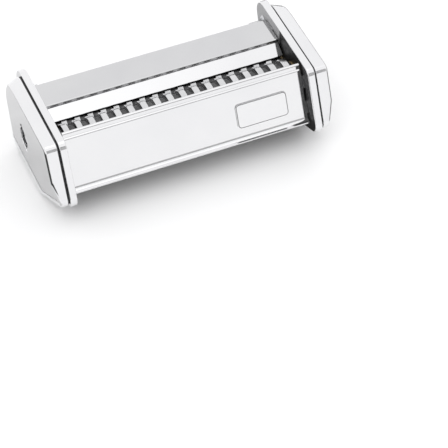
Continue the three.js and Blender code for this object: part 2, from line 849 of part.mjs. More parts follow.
function machine() {
  const left = endPieces("left", [keyhole()]);
  left.scale.x = -1;
  const right = endPieces("right", []);
  const towardRear = axisTilt - frontLean;
  const halfTooth = 180 / gearTeeth;
  const pieces = [
    left,
    right,
    node("top_panel", topPanel(), chrome),
    node("feed_chute", feedChute(), chrome),
    node("front_panel", frontPanel(), chrome),
    badge(),
    node("front_comb", comb(fromFront, discCount - 1), nylon),
    node("rear_comb", comb(fromRear, discCount), nylon),
    node("front_tie_rod", tieRod(), steel, frontRod),
    node("rear_tie_rod", tieRod(), steel, rearRod),
    node("top_tie_rod", tieRod(), steel, topRod),
    node("front_roller", frontRoller(), rollerSteel, frontAxis),
    node("rear_roller", rearRoller(), rollerSteel, rearAxis),
    placedGear("front_gear", frontAxis, towardRear),
    placedGear("rear_gear", rearAxis, towardRear + 180 + halfTooth),
    node("front_left_clip", retainingClip(-clipAt - clipGroove), steel, frontAxis),
    node("rear_left_clip", retainingClip(-clipAt - clipGroove), steel, rearAxis),
    node("front_right_clip", retainingClip(endClipAt), steel, frontAxis),
    node("rear_right_clip", retainingClip(endClipAt), steel, rearAxis),
  ];
  const group = new THREE.Group();
  group.add(...pieces);
  const box = new THREE.Box3().setFromObject(group);
  group.position.y = -(box.min.y + box.max.y) / 2;
  return group;
}

export default machine();
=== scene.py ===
"""The look of the pasta cutter unit: fine surfaces, finishes, lights and camera, built round its CAD frame.

Points of the section are (Y, Z) in millimetres in the part's frame, and X runs along the rollers.
A piece is drawn in millimetres and scaled to metres when it is finished.
"""

import json
import math

import bmesh
import bpy
from mathutils import Matrix, Vector


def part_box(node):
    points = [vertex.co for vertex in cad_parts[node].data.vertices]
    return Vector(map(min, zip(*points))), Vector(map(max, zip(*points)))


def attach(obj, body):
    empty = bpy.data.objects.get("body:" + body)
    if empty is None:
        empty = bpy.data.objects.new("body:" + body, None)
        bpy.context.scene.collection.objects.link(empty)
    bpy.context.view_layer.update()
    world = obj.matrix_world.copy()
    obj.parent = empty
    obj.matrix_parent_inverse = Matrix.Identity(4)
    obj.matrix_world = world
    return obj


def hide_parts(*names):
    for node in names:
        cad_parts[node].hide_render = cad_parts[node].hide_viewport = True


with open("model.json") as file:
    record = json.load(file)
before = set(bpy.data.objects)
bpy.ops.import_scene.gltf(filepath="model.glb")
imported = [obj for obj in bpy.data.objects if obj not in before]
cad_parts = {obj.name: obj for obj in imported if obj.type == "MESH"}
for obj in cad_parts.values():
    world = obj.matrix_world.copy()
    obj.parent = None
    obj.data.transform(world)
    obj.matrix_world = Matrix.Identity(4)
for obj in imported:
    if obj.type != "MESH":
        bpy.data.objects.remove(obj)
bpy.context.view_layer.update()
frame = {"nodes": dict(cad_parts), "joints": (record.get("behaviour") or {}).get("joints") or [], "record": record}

MM = 0.001
WELD_DISTANCE = 1e-4

# ---------- sizes, from the frame ----------


def span(node, axis):
    """Lowest and highest coordinate of a CAD node along an axis, in millimetres."""
    low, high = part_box(node)
    return low[axis] / MM, high[axis] / MM


FRAME_INNER, FRAME_OUTER = span("right_side_frame", 0)
CAP_HEIGHT = span("right_side_frame", 2)[1]
COVER_INNER, COVER_OUTER = span("right_cover", 0)
SHEET = 1.0
PANEL_END = span("feed_chute", 0)[1]
PLATE_TOP = span("top_panel", 2)[1]
NOSE_RADIUS = 1.1
TAB_END = span("front_panel", 0)[1]

FRONT_LEAN = 23.7
REAR_LEAN = 17.5
DISC_RADIUS = 12.75
DISC_WIDTH = 4.0
DISC_PITCH = 8.46
GROOVE_DEPTH = 2.0
JOURNAL_RADIUS = 6.0
PANEL_SETBACK = 9.4
PANEL_CLEARANCE = 1.35
ROLLER_RISE = 1.85
BELOW_ROLLERS = 18.9
WALL_CLEARANCE = 1.05
SEAT_DEPTH = 14.3
COVER_WALL = 1.4
COVER_INSET = 1.0
CHUTE_FOOT_TURN = 31
CHUTE_GAP = 2.65
NOSE_BEHIND_FOOT = 8.7


def heading(degrees):
    """The unit vector of the section at an angle from +Y towards +Z."""
    return Vector((math.cos(math.radians(degrees)), math.sin(math.radians(degrees))))


joint_points = {joint["child"]: Vector(joint["pos_m"][1:]) / MM for joint in frame["joints"]}
front_axis = joint_points["front_cutter"]
rear_axis = joint_points["rear_cutter"]
inward_way = heading(-FRONT_LEAN)
down_way = heading(-90 - FRONT_LEAN)
rear_out = heading(-REAR_LEAN)
across_rollers = (rear_axis - front_axis).normalized()

FRONT_AXIS_IN = PANEL_SETBACK + SHEET + PANEL_CLEARANCE + DISC_RADIUS
FRONT_AXIS_DOWN = DISC_RADIUS - ROLLER_RISE
lean_origin = front_axis - inward_way * FRONT_AXIS_IN - down_way * FRONT_AXIS_DOWN
wall_point = rear_axis + rear_out * (DISC_RADIUS + WALL_CLEARANCE + SHEET)


def lean(inward, down):
    """A place by its depth square to the caps' front edge and its distance down along that edge."""
    return lean_origin + inward_way * inward + down_way * down


def rear_line(offset, height):
    """A place on a line parallel to the rear wall's outer face, at a height."""
    start = wall_point + rear_out * offset
    return Vector((start.x + (height - start.y) * math.tan(math.radians(REAR_LEAN)), height))


front_foot = lean(0, FRONT_AXIS_DOWN + DISC_RADIUS + BELOW_ROLLERS)
heel = Vector((front_foot.x + front_foot.y / math.tan(math.radians(FRONT_LEAN)), 0))
cap_corners = [
    (lean(0, 0), 6.0),
    (front_foot, 7.0),
    (heel, 4.0),
    (rear_line(SEAT_DEPTH, 0), 8.0),
    (rear_line(SEAT_DEPTH, CAP_HEIGHT), 10.0),
]


def cover_corners(rear_radius):
    """The covers' corners are the caps', but rounder at the top rear, and most at their outer face."""
    return cap_corners[:-1] + [(cap_corners[-1][0], rear_radius)]


def chute_foot():
    """The lower edge of the feed chute, just off the rear roller's discs."""
    return rear_axis + heading(90 + CHUTE_FOOT_TURN) * (DISC_RADIUS + CHUTE_GAP)


def nose_middle():
    """The middle of the top plate's rounded nose, in the section."""
    return Vector((chute_foot().x + NOSE_BEHIND_FOOT, PLATE_TOP - NOSE_RADIUS))


# ---------- outlines ----------


def arc(centre, radius, start, end, steps):
    """Points round a centre, between two headings in degrees."""
    return [centre + heading(start + (end - start) * i / steps) * radius for i in range(steps + 1)]


def circle(centre, radius, segments=48):
    """Points evenly round a centre, as a closed outline."""
    return arc(centre, radius, 0, 360 - 360 / segments, segments - 1)


def rounded(corners, inset=0.0, steps=10):
    """A closed outline with round corners, anticlockwise, moved inwards by inset."""
    outline = []
    for i, (at, radius) in enumerate(corners):
        before = (corners[i - 1][0] - at).normalized()
        after = (corners[(i + 1) % len(corners)][0] - at).normalized()
        half = before.angle(after) / 2
        centre = at + (before + after).normalized() * radius / math.sin(half)
        to_start = at + before * radius / math.tan(half) - centre
        start = math.degrees(math.atan2(to_start.y, to_start.x))
        sweep = 180 - math.degrees(2 * half)
        outline += arc(centre, radius - inset, start, start + sweep, steps)
    return outline


CORNER_SIGNS = ((-1, -1), (1, -1), (1, 1), (-1, 1))


def bar(middle, angle, length, width):
    """A rectangle by its middle, the heading of its length, and its two sizes."""
    along = heading(angle) * length / 2
    across = heading(angle + 90) * width / 2
    return [middle + along * a + across * b for a, b in CORNER_SIGNS]


def bent(points, radii, steps=6):
    """An open line whose inner corners are rounded, one radius for each."""
    line = [points[0]]
    for before, at, after, radius in zip(points, points[1:], points[2:], radii):
        to_before = (before - at).normalized()
        to_after = (after - at).normalized()
        half = to_before.angle(to_after) / 2
        centre = at + (to_before + to_after).normalized() * radius / math.sin(half)
        first = (at + to_before * radius / math.tan(half) - centre).normalized()
        last = (at + to_after * radius / math.tan(half) - centre).normalized()
        for i in range(steps + 1):
            line.append(centre + first.slerp(last, i / steps) * radius)
    return line + [points[-1]]


def thickened(line, thickness):
    """The outline of a folded sheet: a line, and the line one thickness to its left."""
    offset = []
    for i, at in enumerate(line):
        before = (at - line[max(i - 1, 0)]) if i else (line[1] - at)
        after = (line[min(i + 1, len(line) - 1)] - at) if i < len(line) - 1 else before
        before, after = before.normalized(), after.normalized()
        left = Vector((-before.y - after.y, before.x + after.x)).normalized()
        offset.append(at + left * thickness / left.dot(Vector((-before.y, before.x))))
    return line + offset[::-1]


# ---------- bodies ----------


def loft(rows):
    """A closed body through outlines of equal length, each given as (x, outline)."""
    body = bmesh.new()
    rings = [[body.verts.new((x, p.x, p.y)) for p in outline] for x, outline in rows]
    for ring, following in zip(rings, rings[1:]):
        for i in range(len(ring)):
            body.faces.new((ring[i - 1], ring[i], following[i], following[i - 1]))
    body.faces.new(rings[0])
    body.faces.new(rings[-1])
    bmesh.ops.recalc_face_normals(body, faces=body.faces)
    return body


def prism(outline, start, end):
    """A closed body of one section between two places along X."""
    return loft([(start, outline), (end, outline)])


def fillet_rows(start, end, start_radius, end_radius, steps=5):
    """(x, inset) pairs along a slab's edge, with a fillet at each end."""
    turns = [math.pi / 2 * i / steps for i in range(steps + 1)]
    first = [(start + start_radius * (1 - math.cos(t)), start_radius * (1 - math.sin(t))) for t in turns]
    last = [(end - end_radius * (1 - math.cos(t)), end_radius * (1 - math.sin(t))) for t in reversed(turns)]
    return first + last


def lathe(profile, centre, segments=96, ring=False):
    """A profile of (x, radius) pairs turned about a line along X. A ring's profile closes on itself."""
    body = bmesh.new()
    loops = []
    for x, radius in profile:
        if radius == 0:
            loops.append([body.verts.new((x, centre.x, centre.y))])
        else:
            loops.append([body.verts.new((x, p.x, p.y)) for p in circle(centre, radius, segments)])
    pairs = list(zip(loops, loops[1:])) + ([(loops[-1], loops[0])] if ring else [])
    for a, b in pairs:
        for i in range(segments):
            corners = [a[i - 1], a[i]] if len(a) > 1 else [a[0]]
            corners += [b[i], b[i - 1]] if len(b) > 1 else [b[0]]
            body.faces.new(corners)
    bmesh.ops.recalc_face_normals(body, faces=body.faces)
    return body


def box(centre, angle, sizes):
    """A block of sizes (x, along, across), its length at an angle of the section."""
    half = sizes[0] / 2
    return prism(bar(Vector(centre[1:]), angle, sizes[1], sizes[2]), centre[0] - half, centre[0] + half)


def together(bodies):
    """Several separate bodies as one mesh."""
    whole = bmesh.new()
    for body in bodies:
        data = bpy.data.meshes.new("part")
        body.to_mesh(data)
        body.free()
        whole.from_mesh(data)
        bpy.data.meshes.remove(data)
    return whole


def scratch_object(body):
    """A short-lived object that holds a body while the boolean works on it."""
    data = bpy.data.meshes.new("scratch")
    body.to_mesh(data)
    body.free()
    made = bpy.data.objects.new("scratch", data)
    bpy.context.scene.collection.objects.link(made)
    return made


def combined(body, tools, operation="DIFFERENCE"):
    """A body with the tools cut out of it or joined on."""
    target = scratch_object(body)
    tool = scratch_object(together(tools))
    step = target.modifiers.new("combine", "BOOLEAN")
    step.object = tool
    step.operation = operation
    step.solver = "EXACT"
    seen = bpy.context.evaluated_depsgraph_get()
    data = bpy.data.meshes.new_from_object(target.evaluated_get(seen))
    result = bmesh.new()
    result.from_mesh(data)
    bmesh.ops.remove_doubles(result, verts=result.verts, dist=WELD_DISTANCE)
    for used in (target, tool):
        old = used.data
        bpy.data.objects.remove(used)
        bpy.data.meshes.remove(old)
    bpy.data.meshes.remove(data)
    return result


# ---------- finishes ----------


class Finish:
    """A node material, with the few nodes that each finish adds to its shader."""

    def __init__(self, name, **constants):
        self.material = bpy.data.materials.new(name)
        self.material.use_nodes = True
        self.nodes = self.material.node_tree.nodes
        self.links = self.material.node_tree.links
        self.shader = self.nodes["Principled BSDF"]
        self.place = self.nodes.new("ShaderNodeTexCoord").outputs["Object"]
        for socket, value in constants.items():
            self.shader.inputs[socket.replace("_", " ")].default_value = value

    def noise(self, scale, detail=3.0, stretch=(1, 1, 1)):
        """Noise over the piece; scale is in waves per metre before the stretch."""
        mapping = self.nodes.new("ShaderNodeMapping")
        mapping.inputs["Scale"].default_value = stretch
        texture = self.nodes.new("ShaderNodeTexNoise")
        texture.inputs["Scale"].default_value = scale
        texture.inputs["Detail"].default_value = detail
        self.links.new(self.place, mapping.inputs["Vector"])
        self.links.new(mapping.outputs["Vector"], texture.inputs["Vector"])
        return texture.outputs["Fac"]

    def roughness(self, source, low, high):
        """Roughness between two values, spread over the middle of a noise's range."""
        spread = self.nodes.new("ShaderNodeMapRange")
        spread.inputs["From Min"].default_value = 0.35
        spread.inputs["From Max"].default_value = 0.65
        spread.inputs["To Min"].default_value = low
        spread.inputs["To Max"].default_value = high
        self.links.new(source, spread.inputs["Value"])
        self.links.new(spread.outputs["Result"], self.shader.inputs["Roughness"])

    def colour(self, source, *stops):
        """Base colour along a ramp; each stop is (position, colour)."""
        ramp = self.nodes.new("ShaderNodeValToRGB")
        elements = ramp.color_ramp.elements
        while len(elements) < len(stops):
            elements.new(0.5)
        for element, (position, shade) in zip(elements, stops):
            element.position = position
            element.color = (*shade, 1)
        self.links.new(source, ramp.inputs["Fac"])
        self.links.new(ramp.outputs["Color"], self.shader.inputs["Base Color"])

    def bump(self, *layers):
        """Surface relief; each layer is (source, depth in millimetres)."""
        normal = None
        for source, depth in layers:
            relief = self.nodes.new("ShaderNodeBump")
            relief.inputs["Distance"].default_value = depth * MM
            self.links.new(source, relief.inputs["Height"])
            if normal:
                self.links.new(normal, relief.inputs["Normal"])
            normal = relief.outputs["Normal"]
        self.links.new(normal, self.shader.inputs["Normal"])


def chrome_plate(name, low, high):
    """Polished chrome on pressed sheet: faint waviness, and a haze where hands have wiped it."""
    finish = Finish(name, Metallic=1.0)
    haze = finish.noise(26, 4)
    finish.colour(haze, (0.3, (low, low, low + 0.01)), (0.7, (high, high, high + 0.005)))
    finish.roughness(haze, 0.05, 0.11)
    finish.bump((finish.noise(22, 1), 0.015), (finish.noise(900, 2), 0.0008))
    return finish.material


def badge_chrome():
    """The badge's own chrome, a little duller than the panel's."""
    finish = Finish("badge_chrome", Metallic=1.0)
    haze = finish.noise(60, 3)
    finish.colour(haze, (0.3, (0.8, 0.8, 0.81)), (0.7, (0.86, 0.86, 0.865)))
    finish.roughness(haze, 0.1, 0.18)
    finish.bump((finish.noise(700, 2), 0.0012))
    return finish.material


def badge_border():
    """Dark enamel in the badge's groove."""
    finish = Finish("badge_border", Metallic=0.0)
    grain = finish.noise(500, 3)
    finish.colour(grain, (0.3, (0.05, 0.05, 0.052)), (0.7, (0.09, 0.09, 0.092)))
    finish.roughness(grain, 0.35, 0.5)
    finish.bump((grain, 0.004))
    return finish.material


def seam_painted_shade():
    """Near-black matte at the bottom of the seam groove between a side frame and its cover: painted shade that
    deepens the groove.
    """
    finish = Finish("seam_painted_shade", Metallic=0.0)
    grain = finish.noise(1500, 3)
    finish.colour(grain, (0.3, (0.012, 0.012, 0.012)), (0.7, (0.025, 0.025, 0.026)))
    finish.roughness(grain, 0.5, 0.7)
    finish.bump((grain, 0.01))
    return finish.material


def sheet_back_painted_shade():
    """Near-black metal on the backs of the sheets: painted shade for the unlit inside of the unit."""
    finish = Finish("sheet_back_painted_shade", Metallic=1.0)
    grain = finish.noise(300, 3)
    finish.colour(grain, (0.3, (0.02, 0.02, 0.021)), (0.7, (0.045, 0.045, 0.047)))
    finish.roughness(grain, 0.2, 0.32)
    finish.bump((finish.noise(900, 2), 0.002))
    return finish.material


def frame_inside_painted_shade():
    """The side frames' inner faces: painted shade, near black round the rollers where the inside is unlit, and a
    lighter grey behind the nose.
    """
    finish = Finish("frame_inside_painted_shade", Metallic=0.0, Specular_IOR_Level=0.2)
    axes = finish.nodes.new("ShaderNodeSeparateXYZ")
    depth = finish.nodes.new("ShaderNodeMapRange")
    change_start, change_end = nose_middle().x - 1.5, nose_middle().x + 0.5
    depth.inputs["From Min"].default_value = change_start * MM
    depth.inputs["From Max"].default_value = change_end * MM
    finish.links.new(finish.place, axes.inputs["Vector"])
    finish.links.new(axes.outputs["Y"], depth.inputs["Value"])
    finish.colour(depth.outputs["Result"], (0.0, (0.012, 0.012, 0.0125)), (1.0, (0.36, 0.36, 0.365)))
    finish.roughness(finish.noise(300, 3), 0.4, 0.55)
    finish.bump((finish.noise(900, 2), 0.002))
    return finish.material


def groove_painted_shade():
    """The turned surface between the discs, painted dark: painted shade where the discs shade the grooves."""
    finish = Finish("groove_painted_shade", Metallic=1.0)
    rings = finish.noise(60, 3, stretch=(60, 1, 1))
    finish.colour(finish.noise(90, 3), (0.3, (0.06, 0.06, 0.062)), (0.7, (0.13, 0.13, 0.132)))
    finish.roughness(rings, 0.25, 0.4)
    finish.bump((rings, 0.004))
    return finish.material


def cutter_steel():
    """Turned and polished steel, with fine rings from the lathe."""
    finish = Finish("cutter_steel", Metallic=1.0)
    rings = finish.noise(60, 3, stretch=(60, 1, 1))
    finish.colour(finish.noise(45, 3), (0.3, (0.6, 0.605, 0.615)), (0.7, (0.7, 0.7, 0.705)))
    finish.roughness(rings, 0.12, 0.24)
    finish.bump((rings, 0.002))
    return finish.material


def bronze_bush():
    """Sintered bronze, speckled with oil-filled pores."""
    finish = Finish("bushing_bronze", Metallic=1.0)
    speckle = finish.noise(1400, 4)
    finish.colour(speckle, (0.35, (0.3, 0.22, 0.12)), (0.6, (0.55, 0.43, 0.26)))
    finish.roughness(speckle, 0.3, 0.5)
    finish.bump((speckle, 0.008))
    return finish.material


def comb_nylon():
    """Moulded black nylon with a fine spark-eroded grain."""
    finish = Finish("comb_nylon", Metallic=0.0)
    grain = finish.noise(1800, 3)
    finish.colour(finish.noise(70, 3), (0.3, (0.022, 0.021, 0.022)), (0.7, (0.042, 0.04, 0.041)))
    finish.roughness(grain, 0.42, 0.62)
    finish.bump((grain, 0.012))
    return finish.material


def zinc_steel():
    """Bright zinc plate: mottled, with drawn lines along the piece."""
    finish = Finish("zinc_steel", Metallic=1.0)
    mottle = finish.noise(160, 5)
    finish.colour(mottle, (0.3, (0.5, 0.51, 0.53)), (0.7, (0.66, 0.66, 0.665)))
    finish.roughness(finish.noise(300, 3, stretch=(0.05, 1, 1)), 0.2, 0.36)
    finish.bump((finish.noise(900, 2, stretch=(0.05, 1, 1)), 0.003))
    return finish.material


def gear_steel():
    """Cut steel with a film of oil."""
    finish = Finish("gear_steel", Metallic=1.0)
    film = finish.noise(120, 4)
    finish.colour(film, (0.3, (0.3, 0.29, 0.28)), (0.7, (0.45, 0.45, 0.45)))
    finish.roughness(film, 0.22, 0.42)
    finish.bump((finish.noise(1200, 2), 0.004))
    return finish.material


finishes = {
    "polished_chrome": chrome_plate("polished_chrome", 0.78, 0.82),
    # The top plate's copy of the chrome is painted darker: painted shade for its dimmer reflection of the room.
    "plate_chrome_painted_shade": chrome_plate("plate_chrome_painted_shade", 0.61, 0.65),
    "sheet_back_painted_shade": sheet_back_painted_shade(),
    "frame_inside_painted_shade": frame_inside_painted_shade(),
    "seam_painted_shade": seam_painted_shade(),
    "groove_painted_shade": groove_painted_shade(),
    "badge_chrome": badge_chrome(),
    "cutter_steel": cutter_steel(),
    "bushing_bronze": bronze_bush(),
    "comb_nylon": comb_nylon(),
    "zinc_steel": zinc_steel(),
    "gear_steel": gear_steel(),
}
slot_of = {entry["node"]: entry["material_slot"] for entry in frame["record"]["subparts"]}
body_of = {node: body for body, nodes in frame["record"]["behaviour"]["bodies"].items() for node in nodes}

# ---------- finishing a piece ----------

EDGE_ANGLE = 38
SMOOTH_ANGLE = 32
SHEET_BEVEL = 0.18
KEPT_BEVEL = 0.2


def edge_bevel(piece, width):
    """A small round on every edge that is sharper than EDGE_ANGLE degrees."""
    bevel = piece.modifiers.new("edges", "BEVEL")
    bevel.width = width * MM
    bevel.segments = 2
    bevel.limit_method = "ANGLE"
    bevel.angle_limit = math.radians(EDGE_ANGLE)
    bevel.harden_normals = True


def finished(node, body, bevel=0.0, finish=None):
    """Makes the fine piece that stands for a CAD node, from a body drawn in millimetres."""
    bmesh.ops.recalc_face_normals(body, faces=body.faces)
    bmesh.ops.transform(body, matrix=Matrix.Scale(MM, 4), verts=body.verts)
    data = bpy.data.meshes.new(f"fine_{node}")
    body.to_mesh(data)
    body.free()
    data.polygons.foreach_set("use_smooth", [True] * len(data.polygons))
    data.set_sharp_from_angle(angle=math.radians(SMOOTH_ANGLE))
    data.materials.append(finishes[finish or slot_of[node]])
    piece = bpy.data.objects.new(f"fine_{node}", data)
    bpy.context.scene.collection.objects.link(piece)
    if bevel:
        edge_bevel(piece, bevel)
    weighted = piece.modifiers.new("flat_faces", "WEIGHTED_NORMAL")
    weighted.keep_sharp = True
    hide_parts(node)
    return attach(piece, body_of[node])


def mirrored(body, side):
    """The right-hand body, or its mirror image for the left."""
    if side == "left":
        bmesh.ops.transform(body, matrix=Matrix.Diagonal((-1, 1, 1, 1)), verts=body.verts)
    return body


# ---------- places shared by the pieces ----------

BUSHING_BORE = JOURNAL_RADIUS + 0.1
BUSHING_OUTER = BUSHING_BORE + 2.0
BUSHING_FLANGE = 1.5
ROD_RADIUS = 3.0
THREAD_RADIUS = 2.0
SCREW_RADIUS = 1.4
RIVET_RADIUS = 1.4
FIT = 0.15
SEAT = FRAME_INNER - 0.1
FLANGE_RADIUS = span("right_front_bushing", 2)[1] - front_axis.y
TAB_LENGTH = 8.0
TAB_FROM_PANEL_EDGE = 8
TAB_FROM_WALL_EDGE = 9
WALL_FOOT = span("top_panel", 2)[0]
NOSE_HEM = 5.0
PLATE_BEND = 2.2
PANEL_TOP = 1.7
PANEL_BOTTOM = 34.3
AXIS_TILT = 5.7
PEG_SIZE = 2.8
PEG_ASIDE = 4
PEG_GAP = 1.25
SCREWS = ("upper", "lower_rear", "lower_front")


def middle_of(node):
    """The middle of a CAD node in the section."""
    (y0, y1), (z0, z1) = span(node, 1), span(node, 2)
    return Vector(((y0 + y1) / 2, (z0 + z1) / 2))


rod_places = {place: middle_of(f"{place}_tie_rod") for place in ("front", "rear", "top")}
screw_places = {place: middle_of(f"right_{place}_cover_screw") for place in SCREWS}
rivet_places = {place: middle_of(f"right_{place}_rail_rivet") for place in ("lower", "upper")}
front_tabs = [
    (lean(PANEL_SETBACK + SHEET / 2, down), -90 - FRONT_LEAN)
    for down in (PANEL_TOP + TAB_FROM_PANEL_EDGE, PANEL_BOTTOM - TAB_FROM_PANEL_EDGE)
]
top_tabs = [
    (Vector((rear_line(0, PLATE_TOP).x - TAB_FROM_WALL_EDGE, PLATE_TOP - SHEET / 2)), 0),
    (rear_line(-SHEET / 2, WALL_FOOT + TAB_FROM_WALL_EDGE), 90 - REAR_LEAN),
]
below_rollers = Vector((across_rollers.y, -across_rollers.x))
peg_places = [
    axis + way * PEG_ASIDE + below_rollers * (DISC_RADIUS + PEG_GAP + PEG_SIZE / 2)
    for axis, way in ((front_axis, across_rollers), (rear_axis, -across_rollers))
]

# ---------- end caps ----------

FRAME_FILLET = 0.8
COVER_FILLET = 1.7
SEAM_FILLET = 0.45
SEAM_WIDTH = 1.0
SEAM_DEPTH = 0.9
SEAM_REAR_RADIUS = 13.0
FACE_REAR_RADIUS = 18.5
TAB_PLAY = 0.3
PEG_PLAY = 0.6
POST_RADIUS = 3.0
KEYHOLE_RADIUS = 6.4
NOTCH_HALF_WIDTH = 2.0
NOTCH_END = 9.25
NOTCH_CORNER = 1
CORNER_DEPTH = 4.5
CORNER_REACH = 17.0
CORNER_HEADING = 219.0
CREASE_HALF = 1.0


def split(body, place, way):
    """Splits the faces along a plane through a place of the section, square to a direction."""
    everything = body.verts[:] + body.edges[:] + body.faces[:]
    bmesh.ops.bisect_plane(body, geom=everything, plane_co=(0, *place), plane_no=(0, *way))


def darkened(body, chosen):
    """Gives the faces that are chosen, by middle and normal, the second of the piece's materials."""
    body.normal_update()
    for face in body.faces:
        face.material_index = int(chosen(face.calc_center_median(), face.normal))


def side_frame(side):
    """A thick plate with a fillet round both faces, and the holes for what passes through it."""
    rows = fillet_rows(FRAME_INNER, FRAME_OUTER, FRAME_FILLET, SEAM_FILLET)
    plate = loft([(x, rounded(cap_corners, inset)) for x, inset in rows])
    outlines = [circle(axis, BUSHING_OUTER + FIT) for axis in (front_axis, rear_axis)]
    outlines += [circle(at, THREAD_RADIUS + FIT, 24) for at in rod_places.values()]
    outlines += [circle(at, SCREW_RADIUS + FIT, 24) for at in screw_places.values()]
    outlines += [circle(at, RIVET_RADIUS + FIT, 24) for at in rivet_places.values()]
    tab_slot = (TAB_LENGTH + TAB_PLAY, SHEET + TAB_PLAY)
    outlines += [bar(at, angle, *tab_slot) for at, angle in front_tabs + top_tabs]
    peg_hole = (PEG_SIZE + PEG_PLAY, PEG_SIZE + PEG_PLAY)
    outlines += [bar(at, AXIS_TILT - FRONT_LEAN, *peg_hole) for at in peg_places]
    holes = [prism(outline, FRAME_INNER - 1, FRAME_OUTER + 1) for outline in outlines]
    frame_body = combined(plate, holes)
    just_past = FRAME_INNER + 0.01
    # Painted shade: the inner face gets the dark second material.
    darkened(frame_body, lambda middle, normal: middle.x < just_past)
    piece = finished(f"{side}_side_frame", mirrored(frame_body, side))
    piece.data.materials.append(finishes["frame_inside_painted_shade"])


def turned_under(body):
    """Slopes the outer face back past a soft crease, so that it turns under at the lower front corner."""
    nearly_sharp = 0.001
    corner = rounded([(at, nearly_sharp) for at, _ in cap_corners], COVER_INSET, 1)[2]
    way = heading(CORNER_HEADING)
    crease = corner - way * CORNER_REACH
    slope = CORNER_DEPTH / CORNER_REACH
    for offset in (-1, -0.5, 0, 0.5, 1):
        split(body, crease + way * offset * CREASE_HALF, way)
    for vert in body.verts:
        if vert.co.x > (COVER_INNER + COVER_OUTER) / 2:
            past = (Vector(vert.co[1:]) - crease).dot(way)
            eased = max(0, past + CREASE_HALF) ** 2 / (4 * CREASE_HALF)
            vert.co.x -= slope * (past if past > CREASE_HALF else eased)
    return body


def keyhole_outline(grow):
    """A round hole with two notches along the caps' front edge, grown by a distance."""
    radius = KEYHOLE_RADIUS + grow
    notch_half = NOTCH_HALF_WIDTH + grow
    mouth = math.degrees(math.asin(notch_half / radius))
    outline = []
    for turn in (-90 - FRONT_LEAN, 90 - FRONT_LEAN):
        end = rear_axis + heading(turn) * (NOTCH_END + grow - NOTCH_CORNER)
        for corner in (-90, 90):
            middle = end + heading(turn + corner) * (notch_half - NOTCH_CORNER)
            start = turn + min(corner, 0)
            outline += arc(middle, NOTCH_CORNER, start, start + 90, 4)
        outline += arc(rear_axis, radius, turn + mouth, turn + 180 - mouth, 20)
    return outline


def rear_radius(x):
    """The cover's radius at the top rear, which grows from the seam to the outer face."""
    share = (x - COVER_INNER) / (COVER_OUTER - COVER_INNER)
    return SEAM_REAR_RADIUS + (FACE_REAR_RADIUS - SEAM_REAR_RADIUS) * share


def cover(side):
    """A hollow cup with a filleted rim; the left one has the crank's hole."""
    inner_inset = COVER_INSET + COVER_WALL
    cavity_end = COVER_OUTER - COVER_WALL
    seam_end = COVER_INNER + SEAM_WIDTH
    wall = fillet_rows(seam_end, COVER_OUTER, SEAM_FILLET, COVER_FILLET, 8)
    rows = [(cavity_end, inner_inset), (COVER_INNER, inner_inset)]
    rows += [(x, COVER_INSET + SEAM_DEPTH) for x in (COVER_INNER, seam_end)]
    rows += [(x, COVER_INSET + inset) for x, inset in wall]
    shell = turned_under(loft([(x, rounded(cover_corners(rear_radius(x)), inset)) for x, inset in rows]))
    posts = []
    pilots = []
    for at in screw_places.values():
        posts.append(prism(circle(at, POST_RADIUS, 32), COVER_INNER, cavity_end + 0.5))
        pilots.append(prism(circle(at, SCREW_RADIUS + FIT, 24), COVER_INNER - 1, cavity_end - 1))
    shell = combined(shell, posts, "UNION")
    shell = combined(shell, pilots)
    if side == "left":
        rims = [(cavity_end - 1, 0), (COVER_OUTER - 0.5, 0), (COVER_OUTER - 0.15, 0.12), (COVER_OUTER, 0.4)]
        rims.append((COVER_OUTER + 1, 1.4))
        shell = combined(shell, [loft([(x, keyhole_outline(grow)) for x, grow in rims])])
    # Painted shade: the floor of the seam groove gets the near-black second material.
    darkened(shell, lambda middle, normal: COVER_INNER < middle.x < seam_end)
    piece = finished(f"{side}_cover", mirrored(shell, side))
    piece.data.materials.append(finishes["seam_painted_shade"])


def bushing(side, place, axis):
    """A flanged bush with chamfered ends, its flange against the inside of the side frame."""
    start = FRAME_INNER - BUSHING_FLANGE
    front, back = 0.3, 0.2
    profile = [
        (start, BUSHING_BORE + front),
        (start, FLANGE_RADIUS - front),
        (start + front, FLANGE_RADIUS),
        (SEAT, FLANGE_RADIUS),
        (SEAT, BUSHING_OUTER),
        (FRAME_OUTER - back, BUSHING_OUTER),
        (FRAME_OUTER, BUSHING_OUTER - back),
        (FRAME_OUTER, BUSHING_BORE + back),
        (FRAME_OUTER - back, BUSHING_BORE),
        (start + front, BUSHING_BORE),
    ]
    finished(f"{side}_{place}_bushing", mirrored(lathe(profile, axis, 64, ring=True), side))


def cover_screw(side, place, axis):
    """A pan-head screw with a cross recess."""
    crown, tip = span(f"right_{place}_cover_screw", 0)
    head_radius = 2.8
    chamfer = 0.15
    turns = (0, 0.35, 0.7, 1.05, 1.35)
    profile = [(SEAT - (SEAT - crown) * math.cos(t), head_radius * math.sin(t)) for t in turns]
    profile += [(SEAT - chamfer, head_radius), (SEAT, head_radius - chamfer), (SEAT, SCREW_RADIUS)]
    profile += [(tip - SCREW_RADIUS, SCREW_RADIUS), (tip, 0)]
    body = lathe(profile, axis, 40)
    recess = (2.0, 3.2, 0.6)
    cross = combined(box((crown, *axis), 0, recess), [box((crown, *axis), 90, recess)], "UNION")
    finished(f"{side}_{place}_cover_screw", mirrored(combined(body, [cross]), side))


